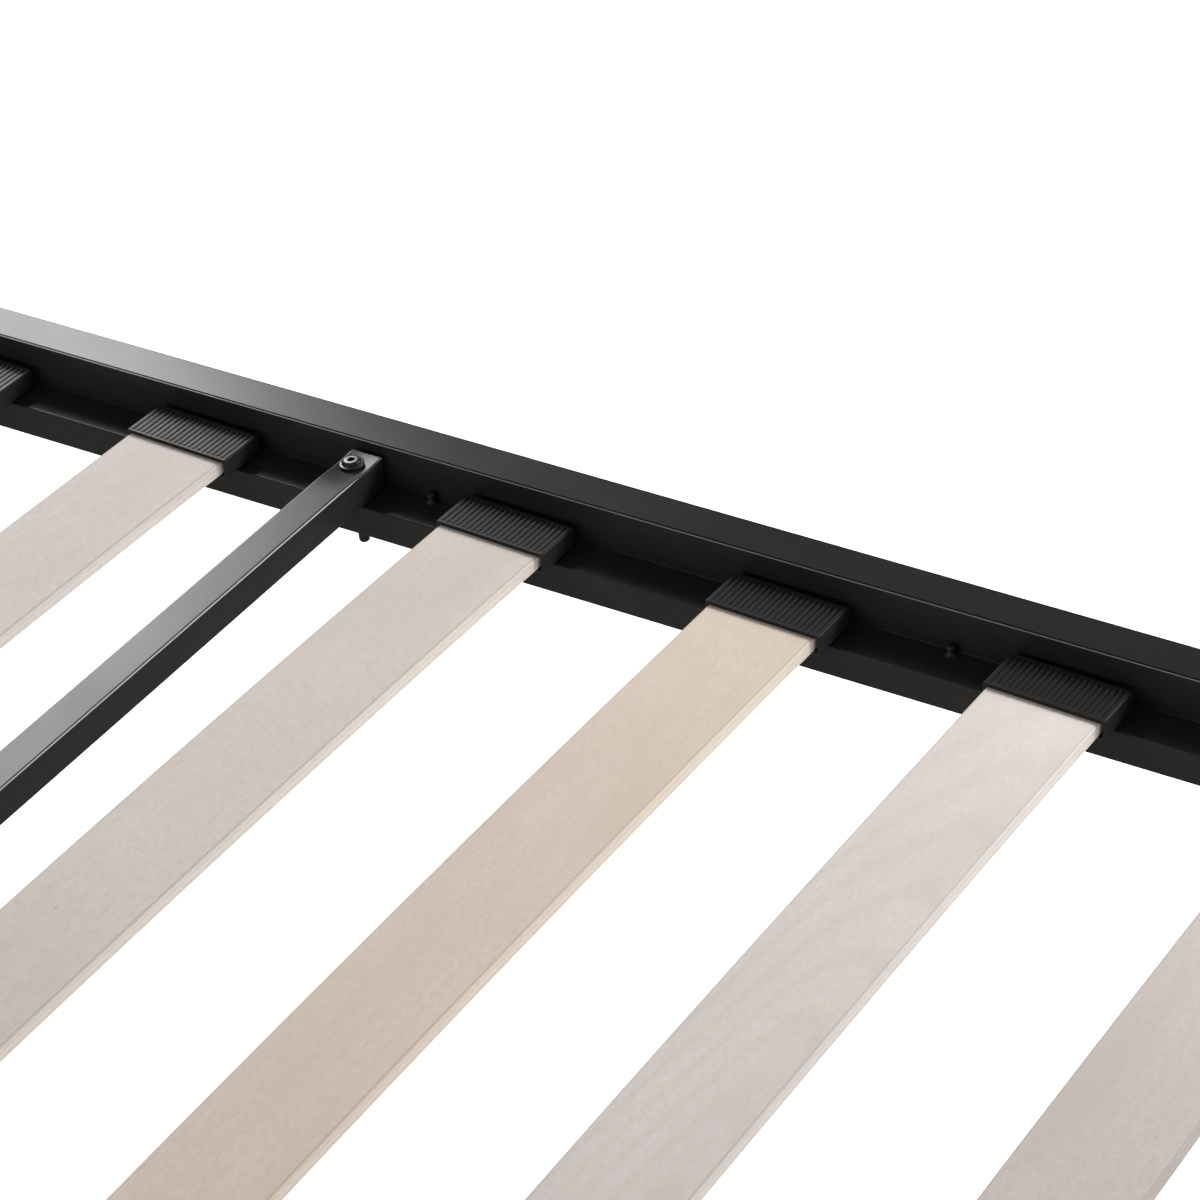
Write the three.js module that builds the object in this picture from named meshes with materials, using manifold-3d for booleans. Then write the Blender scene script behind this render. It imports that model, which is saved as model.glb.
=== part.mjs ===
// Metal bed frame for one mattress. Two stepped side rails are bolted between two welded end
// frames. Sprung wooden slats in ribbed plastic end caps lie loose on the rails' ledges, and two
// square crossbars, bolted down on the ledges, tie the side rails together.
// Millimetres, +Z up. X runs along the bed with the head at +X, and Y runs across it with the left
// side at +Y. The origin is on the floor under the middle of the bed.

import * as THREE from 'three';
import { mergeVertices } from 'three/addons/utils/BufferGeometryUtils.js';
import Module from 'manifold-3d';

const wasm = await Module();
wasm.setup();

// ---- Driving dimensions ----

// Mattress recess and overall height
const mattressLength = 2000;
const mattressWidth = 900;
const mattressRoom = 10;
const bedHeight = 350;

// Gap kept between pieces that touch
const gap = 0.3;

// Side rail: one steel tube with a step that forms the ledge for the slats
const railTopWidth = 26;
const railStep = 24.5;
const ledgeDepth = 25;
const ledgeHeight = 18.5;
const railWall = 1.5;
const railCorner = 2.2;
const railEndPlate = 3;

// End frames: rectangular rails between upright rectangular legs
const endRailHeight = 42.5;
const endRailThickness = 25;
const endRailWall = 1.5;
const legWall = 1.8;
const legTopPlate = 2;

// Plastic feet plugged into the legs
const footFlange = 5;
const footPlugDepth = 22;
const footPlugWall = 2;

// Crossbars: square tubes lying on the ledges
const crossbarSize = 20;
const crossbarWall = 1.2;
const crossbarCorner = 1.8;
const crossbarEndGap = 4;
const crossbarFromMiddle = 341.5;

// Crossbar bolts: flanged button heads with a hexagon socket
const crossbarBoltRadius = 3;
const crossbarBoltFlangeRadius = 6.6;
const crossbarBoltFlange = 1.2;
const crossbarBoltHeadRadius = 4.8;
const crossbarBoltHead = 2.6;
const crossbarBoltSocket = 4;
const crossbarBoltSocketDepth = 1.8;
const crossbarBoltTail = 11;
const crossbarBoltFromWall = 17.5;

// Corner bolts through the legs into the side rails' end plates
const cornerBoltRadius = 4;
const cornerBoltFlangeRadius = 8.5;
const cornerBoltFlange = 1.6;
const cornerBoltHeadRadius = 7;
const cornerBoltHead = 3.6;
const cornerBoltSocket = 5;
const cornerBoltSocketDepth = 2.4;
const cornerBoltReach = 12;
const cornerBoltBelowTop = 21.25;

// Locating peg on each rail end, below the bolt, that keeps the rail from turning
const pegRadius = 4;
const pegLength = 4;
const pegFromInside = 12.5;
const pegAboveBottom = 9;

const holeClearance = 0.3;
const pegClearance = 0.6;

// Slats: bent plywood strips
const slatWidth = 63;
const slatThickness = 8;
const slatBow = 7.5;

// Slat layout, each size to a slat's centre: four slats spread evenly between the crossbars, and four
// spread evenly from each crossbar to that end of the recess
const middleSlatCount = 4;
const endSlatCount = 4;
const crossbarToMiddleSlat = 96.25;
const crossbarToEndSlat = 107;
const endSlatFromEnd = 88.5;

// The loose slats of the middle group lie this far from their even places, from the foot end
const middleSlatDrift = [0.3, 1.3, -3.3, 1.6];

// Slat end caps: plastic shoes, open towards the middle of the bed. A slat has play to each side in
// its caps and leans towards the foot end.
const capDepth = 30;
const capFloor = 1.8;
const capRoof = 2;
const capSideWall = 1.2;
const capBack = 2;
const capToWall = 5;
const slatPlay = 1.4;
const slatLean = 0.8;

const roundSides = 16;
const cornerSteps = 3;
const bowSteps = 20;

// ---- Sizes that follow ----

const recessLength = mattressLength + mattressRoom;
const recessWidth = mattressWidth + mattressRoom;
const railHeight = railStep + ledgeHeight;
const railWidth = railTopWidth + ledgeDepth;
const railLength = recessLength - 2 * gap;
const ledgeTop = bedHeight - railStep;
const ledgeBottom = ledgeTop - ledgeHeight;
const legX = (recessLength + endRailThickness) / 2;
const legY = recessWidth / 2 + railTopWidth - railWidth / 2;
const legBottom = footFlange + gap;
const endRailLength = recessWidth - 2 * ledgeDepth - 2 * gap;
const crossbarLength = recessWidth - 2 * crossbarEndGap;
const crossbarBottom = ledgeTop + gap;
const crossbarBoltY = recessWidth / 2 - crossbarBoltFromWall;
const crossbarXs = [-crossbarFromMiddle, crossbarFromMiddle];
const cornerBoltY = recessWidth / 2 + railTopWidth / 2;
const cornerBoltZ = bedHeight - cornerBoltBelowTop;
const pegY = recessWidth / 2 - ledgeDepth + pegFromInside;
const pegZ = ledgeBottom + pegAboveBottom;
const slatEndY = recessWidth / 2 - capToWall - capBack - gap;
const slatBottom = ledgeTop + gap + capFloor + gap;
const capPocketWidth = slatWidth + 2 * slatPlay;
const capWidth = capPocketWidth + 2 * capSideWall;
const capHeight = capFloor + slatThickness + 2 * gap + capRoof;
const middleSlatPitch = (2 * (crossbarFromMiddle - crossbarToMiddleSlat)) / (middleSlatCount - 1);
const firstEndSlat = crossbarFromMiddle + crossbarToEndSlat;
const endSlatPitch = (recessLength / 2 - endSlatFromEnd - firstEndSlat) / (endSlatCount - 1);

// ---- Materials ----

const steel = () => new THREE.MeshStandardMaterial({ color: 0x232323, roughness: 0.38, metalness: 0.25 });
const bolt = () => new THREE.MeshStandardMaterial({ color: 0x1a1a1a, roughness: 0.3, metalness: 0.6 });
const wood = () => new THREE.MeshStandardMaterial({ color: 0xdacfc3, roughness: 0.6, metalness: 0 });
const plastic = () => new THREE.MeshStandardMaterial({ color: 0x191919, roughness: 0.42, metalness: 0 });

// ---- Solids: closed geometries joined and cut ----

function solidOf(geometry) {
  const bare = geometry.clone();
  bare.deleteAttribute('normal');
  bare.deleteAttribute('uv');
  const merged = mergeVertices(bare, 1e-4);
  return new wasm.Manifold(
    new wasm.Mesh({
      numProp: 3,
      vertProperties: new Float32Array(merged.attributes.position.array),
      triVerts: new Uint32Array(merged.index.array),
    }),
  );
}

function geometryOf(solid) {
  const mesh = solid.getMesh();
  const geometry = new THREE.BufferGeometry();
  geometry.setAttribute('position', new THREE.BufferAttribute(new Float32Array(mesh.vertProperties), 3));
  geometry.setIndex(new THREE.BufferAttribute(new Uint32Array(mesh.triVerts), 1));
  geometry.computeVertexNormals();
  return geometry;
}

function cut(geometry, ...tools) {
  let solid = solidOf(geometry);
  for (const tool of tools) solid = solid.subtract(solidOf(tool));
  return geometryOf(solid);
}

function join(geometry, ...others) {
  let solid = solidOf(geometry);
  for (const other of others) solid = solid.add(solidOf(other));
  return geometryOf(solid);
}

// ---- Outlines ----

// A closed outline of square corners, given counter-clockwise, with each corner rounded. A corner is
// [x, y, radius].
function roundedOutline(corners) {
  const shape = new THREE.Shape();
  corners.forEach(([x, y, radius], i) => {
    const [beforeX, beforeY] = corners.at(i - 1);
    const [afterX, afterY] = corners[(i + 1) % corners.length];
    const from = new THREE.Vector2(beforeX - x, beforeY - y).normalize();
    const to = new THREE.Vector2(afterX - x, afterY - y).normalize();
    const centre = new THREE.Vector2(x, y).addScaledVector(from, radius).addScaledVector(to, radius);
    const startAngle = Math.atan2(-to.y, -to.x);
    const endAngle = Math.atan2(-from.y, -from.x);
    const turnsLeft = from.y * to.x - from.x * to.y > 0;
    shape.absarc(centre.x, centre.y, radius, startAngle, endAngle, !turnsLeft);
  });
  return shape;
}

function rectangle(width, height, radius) {
  const x = width / 2;
  const y = height / 2;
  return roundedOutline([
    [-x, -y, radius],
    [x, -y, radius],
    [x, y, radius],
    [-x, y, radius],
  ]);
}

// ---- Extrusions, centred on their axis ----

function extrude(shape, length) {
  const settings = { depth: length, bevelEnabled: false, steps: 1, curveSegments: cornerSteps };
  return new THREE.ExtrudeGeometry(shape, settings).translate(0, 0, -length / 2);
}

// The outline's x becomes Y and its y becomes Z.
function extrudeAlongX(shape, length) {
  return extrude(shape, length).rotateX(Math.PI / 2).rotateZ(Math.PI / 2);
}

// The outline's x becomes -X and its y becomes Z.
function extrudeAlongY(shape, length) {
  return extrudeAlongX(shape, length).rotateZ(Math.PI / 2);
}

function rodAlongX(radius, length, x, y, z) {
  return new THREE.CylinderGeometry(radius, radius, length, roundSides).rotateZ(Math.PI / 2).translate(x, y, z);
}

function rodAlongZ(radius, length, x, y, z) {
  return new THREE.CylinderGeometry(radius, radius, length, roundSides).rotateX(Math.PI / 2).translate(x, y, z);
}

// ---- Side rails ----

// The step's outline, drawn in Y and Z for the left rail. inset is how far inside the tube's skin it
// lies.
function steppedOutline(inset) {
  const inner = recessWidth / 2;
  const outside = Math.max(railCorner - inset, 0.2);
  const inside = Math.max(railCorner - railWall + inset, 0.2);
  const ledgeFace = inner - ledgeDepth + inset;
  const wallFace = inner + inset;
  const outerFace = inner + railTopWidth - inset;
  const bottom = ledgeBottom + inset;
  return roundedOutline([
    [ledgeFace, bottom, outside],
    [outerFace, bottom, outside],
    [outerFace, bedHeight - inset, outside],
    [wallFace, bedHeight - inset, outside],
    [wallFace, ledgeTop - inset, inside],
    [ledgeFace, ledgeTop - inset, outside],
  ]);
}

function sideRailGeometry() {
  const skin = extrudeAlongX(steppedOutline(0), railLength);
  const hollow = extrudeAlongX(steppedOutline(railWall), railLength - 2 * railEndPlate);
  const holeRadius = crossbarBoltRadius + holeClearance;
  const boltHoles = crossbarXs.map((x) =>
    rodAlongZ(holeRadius, ledgeHeight * 1.5, x, crossbarBoltY, ledgeTop - ledgeHeight / 2),
  );
  const endHoles = rodAlongX(cornerBoltRadius + holeClearance, railLength + 10, 0, cornerBoltY, cornerBoltZ);
  const pegs = [-1, 1].map((end) => {
    const length = pegLength + railEndPlate;
    return rodAlongX(pegRadius, length, end * (railLength / 2 + (pegLength - railEndPlate) / 2), pegY, pegZ);
  });
  return join(cut(skin, hollow, ...boltHoles, endHoles), ...pegs);
}

// ---- End frames ----

function endRailGeometry() {
  const skin = extrudeAlongY(rectangle(endRailThickness, endRailHeight, railCorner), endRailLength);
  const innerRadius = Math.max(railCorner - endRailWall, 0.2);
  const bore = rectangle(endRailThickness - 2 * endRailWall, endRailHeight - 2 * endRailWall, innerRadius);
  return cut(skin, extrudeAlongY(bore, endRailLength + 10));
}

// A leg is closed at the top by a welded plate and open at the bottom for its foot. The holes for the
// corner bolt and the peg are drilled right through both walls and the inner wall respectively.
function legGeometry(end, side) {
  const legLength = bedHeight - legBottom;
  const middle = (bedHeight + legBottom) / 2;
  const skin = extrude(rectangle(endRailThickness, railWidth, railCorner), legLength).translate(0, 0, middle);
  const innerRadius = Math.max(railCorner - legWall, 0.2);
  const bore = rectangle(endRailThickness - 2 * legWall, railWidth - 2 * legWall, innerRadius);
  const hollow = extrude(bore, legLength).translate(0, 0, middle - legTopPlate);
  const boltHole = rodAlongX(
    cornerBoltRadius + holeClearance,
    endRailThickness + 10,
    0,
    side * (cornerBoltY - legY),
    cornerBoltZ,
  );
  const pegHole = rodAlongX(
    pegRadius + pegClearance,
    endRailThickness,
    (-end * endRailThickness) / 2,
    side * (pegY - legY),
    pegZ,
  );
  return cut(skin, hollow, boltHole, pegHole);
}

function footGeometry() {
  const flange = extrude(rectangle(endRailThickness, railWidth, railCorner), footFlange);
  flange.translate(0, 0, footFlange / 2);
  const plugRoom = 2 * (legWall + gap);
  const plugRadius = Math.max(railCorner - legWall - gap, 0.2);
  const plugShape = rectangle(endRailThickness - plugRoom, railWidth - plugRoom, plugRadius);
  const plug = extrude(plugShape, footPlugDepth + footFlange / 2);
  plug.translate(0, 0, (footPlugDepth + footFlange * 1.5) / 2);
  const hollowRoom = plugRoom + 2 * footPlugWall;
  const hollowShape = rectangle(endRailThickness - hollowRoom, railWidth - hollowRoom, plugRadius);
  const hollow = extrude(hollowShape, footPlugDepth + 10);
  hollow.translate(0, 0, footFlange + (footPlugDepth + 10) / 2);
  return cut(join(flange, plug), hollow);
}

// ---- Crossbars ----

function crossbarGeometry() {
  const skin = extrudeAlongY(rectangle(crossbarSize, crossbarSize, crossbarCorner), crossbarLength);
  const boreSize = crossbarSize - 2 * crossbarWall;
  const boreRadius = Math.max(crossbarCorner - crossbarWall, 0.2);
  const bore = extrudeAlongY(rectangle(boreSize, boreSize, boreRadius), crossbarLength + 10);
  const holes = [-crossbarBoltY, crossbarBoltY].map((y) =>
    rodAlongZ(crossbarBoltRadius + holeClearance, crossbarSize * 1.5, 0, y, 0),
  );
  return cut(skin, bore, ...holes);
}

// ---- Bolts, drawn head up with the underside of the flange at z = 0 ----

function boltGeometry({ radius, shank, flangeRadius, flange, headRadius, head, socket, socketDepth, tip }) {
  const top = flange + head;
  const profile = [
    [0, -shank],
    [radius - tip, -shank],
    [radius, tip - shank],
    [radius, 0],
    [flangeRadius, 0],
    [flangeRadius, flange * 0.5],
    [flangeRadius - flange * 0.5, flange],
    [headRadius, flange],
    [headRadius, flange + head * 0.45],
    [headRadius * 0.72, top],
    [0, top],
  ];
  const points = profile.map(([x, y]) => new THREE.Vector2(x, y));
  const body = new THREE.LatheGeometry(points, roundSides).rotateX(Math.PI / 2);
  const socketRadius = socket / Math.sqrt(3);
  const key = new THREE.CylinderGeometry(socketRadius, socketRadius, socketDepth * 2, 6);
  return cut(body, key.rotateX(Math.PI / 2).translate(0, 0, top));
}

function crossbarBoltGeometry() {
  return boltGeometry({
    radius: crossbarBoltRadius,
    shank: crossbarSize + 2 * gap + ledgeHeight + crossbarBoltTail,
    flangeRadius: crossbarBoltFlangeRadius,
    flange: crossbarBoltFlange,
    headRadius: crossbarBoltHeadRadius,
    head: crossbarBoltHead,
    socket: crossbarBoltSocket,
    socketDepth: crossbarBoltSocketDepth,
    tip: crossbarBoltRadius * 0.4,
  });
}

function cornerBoltGeometry() {
  return boltGeometry({
    radius: cornerBoltRadius,
    shank: endRailThickness + 2 * gap + railEndPlate + cornerBoltReach,
    flangeRadius: cornerBoltFlangeRadius,
    flange: cornerBoltFlange,
    headRadius: cornerBoltHeadRadius,
    head: cornerBoltHead,
    socket: cornerBoltSocket,
    socketDepth: cornerBoltSocketDepth,
    tip: cornerBoltRadius * 0.2,
  });
}

// ---- Slats and their caps ----

// The strip is straight at the ends held in the caps and rises between them in one shallow arch.
function slatHeightAt(y) {
  const straight = recessWidth / 2 - capToWall - capDepth;
  const reach = Math.min(Math.abs(y) / straight, 1);
  return slatBow * (1 - reach * reach);
}

function slatGeometry() {
  const shape = new THREE.Shape();
  const straight = recessWidth / 2 - capToWall - capDepth;
  const ys = [-slatEndY];
  for (let i = 0; i <= bowSteps; i += 1) ys.push(-straight + (2 * straight * i) / bowSteps);
  ys.push(slatEndY);
  ys.forEach((y, i) => (i ? shape.lineTo(y, slatHeightAt(y)) : shape.moveTo(y, slatHeightAt(y))));
  for (const y of ys.toReversed()) shape.lineTo(y, slatHeightAt(y) + slatThickness);
  return extrudeAlongX(shape, slatWidth).translate(0, 0, slatBottom);
}

// A cap is drawn for the left end, with its back at y = 0 and its mouth towards -Y.
function capGeometry() {
  const block = new THREE.BoxGeometry(capWidth, capDepth, capHeight);
  block.translate(0, -capDepth / 2, capHeight / 2);
  const pocketHeight = slatThickness + 2 * gap;
  const pocket = new THREE.BoxGeometry(capPocketWidth, capDepth, pocketHeight);
  pocket.translate(0, -capBack - capDepth / 2, capFloor + pocketHeight / 2);
  return cut(block, pocket);
}

// ---- Assembly ----

const bed = new THREE.Group();

function place(name, geometry, material, x, y, z) {
  const mesh = new THREE.Mesh(geometry, material);
  mesh.name = name;
  mesh.position.set(x, y, z);
  bed.add(mesh);
  return mesh;
}

const sides = [
  ['left', 1],
  ['right', -1],
];
const ends = [
  ['head', 1],
  ['foot', -1],
];

for (const [sideName, side] of sides) {
  const rail = place(`side_rail_${sideName}`, sideRailGeometry(), steel(), 0, 0, 0);
  rail.rotation.z = side > 0 ? 0 : Math.PI;
}

for (const [endName, end] of ends) {
  place(`${endName}_rail`, endRailGeometry(), steel(), end * legX, 0, bedHeight - endRailHeight / 2);
  const crossbarZ = crossbarBottom + crossbarSize / 2;
  place(`crossbar_${endName}`, crossbarGeometry(), steel(), end * crossbarFromMiddle, 0, crossbarZ);
  for (const [sideName, side] of sides) {
    const corner = `${endName}_${sideName}`;
    place(`leg_${corner}`, legGeometry(end, side), steel(), end * legX, side * legY, 0);
    place(`foot_${corner}`, footGeometry(), plastic(), end * legX, side * legY, 0);
    const boltZ = crossbarBottom + crossbarSize + gap;
    const boltX = end * crossbarFromMiddle;
    place(`crossbar_bolt_${corner}`, crossbarBoltGeometry(), bolt(), boltX, side * crossbarBoltY, boltZ);
    const outerFace = legX + endRailThickness / 2 + gap;
    const cornerBolt = place(
      `corner_bolt_${corner}`,
      cornerBoltGeometry(),
      bolt(),
      end * outerFace,
      side * cornerBoltY,
      cornerBoltZ,
    );
    cornerBolt.rotation.y = (end * Math.PI) / 2;
  }
}

// Slat centres from the foot end to the head end: a group between the crossbars and one beyond each.
const middleXs = Array.from({ length: middleSlatCount }, (_, i) => {
  return (i - (middleSlatCount - 1) / 2) * middleSlatPitch + (middleSlatDrift[i] ?? 0);
});
const beyondXs = Array.from({ length: endSlatCount }, (_, i) => firstEndSlat + i * endSlatPitch);
const slatXs = [...beyondXs.map((x) => -x), ...middleXs, ...beyondXs].sort((a, b) => a - b);

slatXs.forEach((x, i) => {
  const number = String(i + 1).padStart(2, '0');
  place(`slat_${number}`, slatGeometry(), wood(), x, 0, 0);
  for (const [sideName, side] of sides) {
    const capY = side * (recessWidth / 2 - capToWall);
    const capX = x + slatLean;
    const cap = place(`cap_${number}_${sideName}`, capGeometry(), plastic(), capX, capY, ledgeTop + gap);
    cap.rotation.z = side > 0 ? 0 : Math.PI;
  }
});

export default bed;
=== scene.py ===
"""Looks of the metal bed frame: powder-coated steel, plywood slats, ribbed plastic end caps.
Metres, in the CAD model's frame: X along the bed, Y across it, Z up."""
import math
import random

import bmesh
import bpy
from mathutils import Matrix, Vector
from mathutils.geometry import tessellate_polygon


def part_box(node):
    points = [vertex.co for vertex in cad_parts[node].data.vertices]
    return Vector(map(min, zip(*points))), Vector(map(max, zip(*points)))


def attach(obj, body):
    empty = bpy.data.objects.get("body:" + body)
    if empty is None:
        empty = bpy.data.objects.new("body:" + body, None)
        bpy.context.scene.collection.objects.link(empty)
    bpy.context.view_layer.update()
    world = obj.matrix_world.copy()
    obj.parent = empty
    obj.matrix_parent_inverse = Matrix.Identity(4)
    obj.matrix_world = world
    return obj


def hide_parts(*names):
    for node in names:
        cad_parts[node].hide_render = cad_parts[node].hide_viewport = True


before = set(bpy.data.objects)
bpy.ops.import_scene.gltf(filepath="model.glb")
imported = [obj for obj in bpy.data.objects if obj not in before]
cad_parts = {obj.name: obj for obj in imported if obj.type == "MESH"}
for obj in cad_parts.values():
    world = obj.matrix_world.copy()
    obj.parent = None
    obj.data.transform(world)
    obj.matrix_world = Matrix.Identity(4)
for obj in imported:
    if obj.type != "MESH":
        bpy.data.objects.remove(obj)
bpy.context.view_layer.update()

MM = 0.001
SIDES = (("left", 1), ("right", -1))
ENDS = (("head", 1), ("foot", -1))
SLAT_COUNT = 12
SLATS = [f"{i + 1:02d}" for i in range(SLAT_COUNT)]

# ---- Places and sizes taken from the frame ----

RAIL_LOW, RAIL_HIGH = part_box("side_rail_left")
SLAT_LOW, SLAT_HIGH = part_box("slat_01")
CAP_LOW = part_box("cap_01_left")[0]
BAR_LOW, BAR_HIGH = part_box("crossbar_head")
BOLT_LOW, BOLT_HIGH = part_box("crossbar_bolt_head_left")

TOP = RAIL_HIGH.z
GAP = 0.3 * MM
RAIL_TOP_WIDTH = 26 * MM
RAIL_STEP = 24.5 * MM
WALL_Y = RAIL_HIGH.y - RAIL_TOP_WIDTH
LEDGE_TOP = TOP - RAIL_STEP
LEDGE_BOTTOM = RAIL_LOW.z

# A slat is straight inside its caps and bowed between them.
SLAT_STRAIGHT = CAP_LOW.y
SLAT_THICKNESS = 8 * MM
SLAT_BOW = SLAT_HIGH.z - SLAT_LOW.z - SLAT_THICKNESS

# ---- Camera ----

CAMERA_AT = Vector((827.3, -1109.8, 1567.5)) * MM
CAMERA_YAW = math.radians(33.279)
CAMERA_PITCH = math.radians(34.297)
CAMERA_ROLL = math.radians(-3.604)
CAMERA_LENS = 127.654
SENSOR_WIDTH = 36
FARTHEST_SEEN = 50


def add_camera():
    forward = Vector((
        -math.sin(CAMERA_YAW) * math.cos(CAMERA_PITCH),
        math.cos(CAMERA_YAW) * math.cos(CAMERA_PITCH),
        -math.sin(CAMERA_PITCH),
    ))
    data = bpy.data.cameras.new("camera")
    data.lens = CAMERA_LENS
    data.sensor_width = SENSOR_WIDTH
    data.clip_end = FARTHEST_SEEN
    camera = bpy.data.objects.new("camera", data)
    bpy.context.collection.objects.link(camera)
    camera.location = CAMERA_AT
    turn = forward.to_track_quat("-Z", "Y").to_matrix() @ Matrix.Rotation(CAMERA_ROLL, 3, "Z")
    camera.rotation_euler = turn.to_euler()
    bpy.context.scene.camera = camera


add_camera()

# ---- Mesh helpers ----


def make_object(name, vertices, faces, sharp=35):
    """A smooth-shaded mesh object whose edges over the sharp angle, in degrees, stay crisp."""
    mesh = bpy.data.meshes.new(name)
    mesh.from_pydata([tuple(v) for v in vertices], [], faces)
    bm = bmesh.new()
    bm.from_mesh(mesh)
    bmesh.ops.remove_doubles(bm, verts=bm.verts, dist=1e-7)
    bmesh.ops.recalc_face_normals(bm, faces=bm.faces)
    bm.to_mesh(mesh)
    bm.free()
    mesh.polygons.foreach_set("use_smooth", [True] * len(mesh.polygons))
    mesh.set_sharp_from_angle(angle=math.radians(sharp))
    obj = bpy.data.objects.new(name, mesh)
    bpy.context.collection.objects.link(obj)
    return obj


def finish_piece(obj, material, body, slot, *nodes):
    obj.data.materials.append(material)
    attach(obj, body)
    if nodes:
        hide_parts(*nodes)
    return obj


def rounded(corners, steps=7, usual_margin=0.5 * MM):
    """A closed outline with each square corner (x, y, radius) rounded, and a point on each side of the arc
    so that the flats beside it shade flat. A corner may give those points' distance as a fourth number."""
    points = []
    for i, (x, y, radius, *own_margin) in enumerate(corners):
        margin = own_margin[0] if own_margin else usual_margin
        corner = Vector((x, y))
        back = (Vector(corners[i - 1][:2]) - corner).normalized()
        on = (Vector(corners[(i + 1) % len(corners)][:2]) - corner).normalized()
        centre = corner + (back + on) * radius
        points.append(corner + back * (radius + margin))
        for k in range(steps + 1):
            angle = math.pi / 2 * k / steps
            points.append(centre - on * radius * math.cos(angle) - back * radius * math.sin(angle))
        points.append(corner + on * (radius + margin))
    return points


def rectangle(width, height, radius, steps=7):
    x, y = width / 2, height / 2
    return rounded([(-x, -y, radius), (x, -y, radius), (x, y, radius), (-x, y, radius)], steps)


def shrunk(outline, by):
    """The outline drawn in by a small amount all round, about its middle."""
    low = Vector((min(p.x for p in outline), min(p.y for p in outline)))
    high = Vector((max(p.x for p in outline), max(p.y for p in outline)))
    middle = (low + high) / 2
    scale = Vector((1 - 2 * by / (high.x - low.x), 1 - 2 * by / (high.y - low.y)))
    points = []
    for p in outline:
        x = middle.x + (p.x - middle.x) * scale.x
        y = middle.y + (p.y - middle.y) * scale.y
        points.append(Vector((x, y)))
    return points


def skin(loops):
    """Quads between successive loops of the same number of points, as (vertices, faces)."""
    count = len(loops[0])
    vertices = [v for loop in loops for v in loop]
    faces = []
    for k in range(len(loops) - 1):
        for i in range(count):
            j = (i + 1) % count
            faces.append((k * count + i, k * count + j, (k + 1) * count + j, (k + 1) * count + i))
    return vertices, faces


def fill(vertices, faces, *loops):
    """Closes a flat face bounded by an outer loop and any inner ones."""
    start = len(vertices)
    flat = [v for loop in loops for v in loop]
    vertices.extend(flat)
    for triangle in tessellate_polygon([[Vector(v) for v in loop] for loop in loops]):
        faces.append(tuple(start + i for i in triangle))


def append(vertices, faces, more):
    """Adds another (vertices, faces) to the ones given."""
    start = len(vertices)
    vertices.extend(more[0])
    faces.extend(tuple(start + i for i in face) for face in more[1])


def solid(name, loops, sharp=35):
    """An object skinned over the loops and closed at both ends."""
    vertices, faces = skin(loops)
    fill(vertices, faces, loops[0])
    fill(vertices, faces, loops[-1])
    return make_object(name, vertices, faces, sharp)


def steps_between(low, high, count):
    return [low + (high - low) * i / count for i in range(count + 1)]


def level_loop(middle, outline, z):
    """The outline laid level at height z, about middle."""
    return [Vector((middle.x + p.x, middle.y + p.y, z)) for p in outline]


# ---- Materials ----


def new_material(name):
    material = bpy.data.materials.new(name)
    material.use_nodes = True
    tree = material.node_tree
    shader = tree.nodes["Principled BSDF"]
    return material, tree, shader


def node(tree, kind, **values):
    made = tree.nodes.new(kind)
    for key, value in values.items():
        setattr(made, key, value)
    return made


def link(tree, source, target):
    tree.links.new(source, target)


def object_point(tree, scale=(1, 1, 1), shift=(0, 0, 0)):
    """The place on the piece in metres, stretched by scale."""
    place = node(tree, "ShaderNodeTexCoord")
    mapping = node(tree, "ShaderNodeMapping")
    mapping.inputs["Scale"].default_value = scale
    mapping.inputs["Location"].default_value = shift
    link(tree, place.outputs["Object"], mapping.inputs["Vector"])
    return mapping.outputs["Vector"]


def noise(tree, vector, scale, detail=2.0, roughness=0.5):
    made = node(tree, "ShaderNodeTexNoise")
    made.inputs["Scale"].default_value = scale
    made.inputs["Detail"].default_value = detail
    made.inputs["Roughness"].default_value = roughness
    link(tree, vector, made.inputs["Vector"])
    return made.outputs["Fac"]


def remap(tree, value, low, high, to_low, to_high):
    made = node(tree, "ShaderNodeMapRange")
    for name, number in (("From Min", low), ("From Max", high), ("To Min", to_low), ("To Max", to_high)):
        made.inputs[name].default_value = number
    link(tree, value, made.inputs["Value"])
    return made.outputs["Result"]


def math_node(tree, operation, first, second=None):
    made = node(tree, "ShaderNodeMath", operation=operation)
    for i, value in enumerate((first, second)):
        if value is None:
            continue
        if isinstance(value, (int, float)):
            made.inputs[i].default_value = value
        else:
            link(tree, value, made.inputs[i])
    return made.outputs["Value"]


def mix_colour(tree, factor, first, second):
    made = node(tree, "ShaderNodeMix", data_type="RGBA")
    for name, value in (("Factor", factor), ("A", first), ("B", second)):
        socket = made.inputs[name]
        if isinstance(value, (int, float)):
            socket.default_value = value
        elif isinstance(value, tuple):
            socket.default_value = (*value, 1)
        else:
            link(tree, value, socket)
    return made.outputs["Result"]


def inside_box(tree, *ranges):
    """1 where every value lies between its two limits, and 0 elsewhere."""
    result = 1.0
    for value, low, high in ranges:
        above = math_node(tree, "GREATER_THAN", value, low)
        below = math_node(tree, "LESS_THAN", value, high)
        result = math_node(tree, "MULTIPLY", math_node(tree, "MULTIPLY", above, below), result)
    return result


def bump(tree, shader, height, strength, distance):
    made = node(tree, "ShaderNodeBump")
    made.inputs["Strength"].default_value = strength
    made.inputs["Distance"].default_value = distance
    link(tree, height, made.inputs["Height"])
    link(tree, made.outputs["Normal"], shader.inputs["Normal"])


def tinted(colour, *shares):
    """The colour with its channels scaled, by one share for all or by one for each."""
    return tuple(channel * share for channel, share in zip(colour, shares * (3 // len(shares))))


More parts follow.
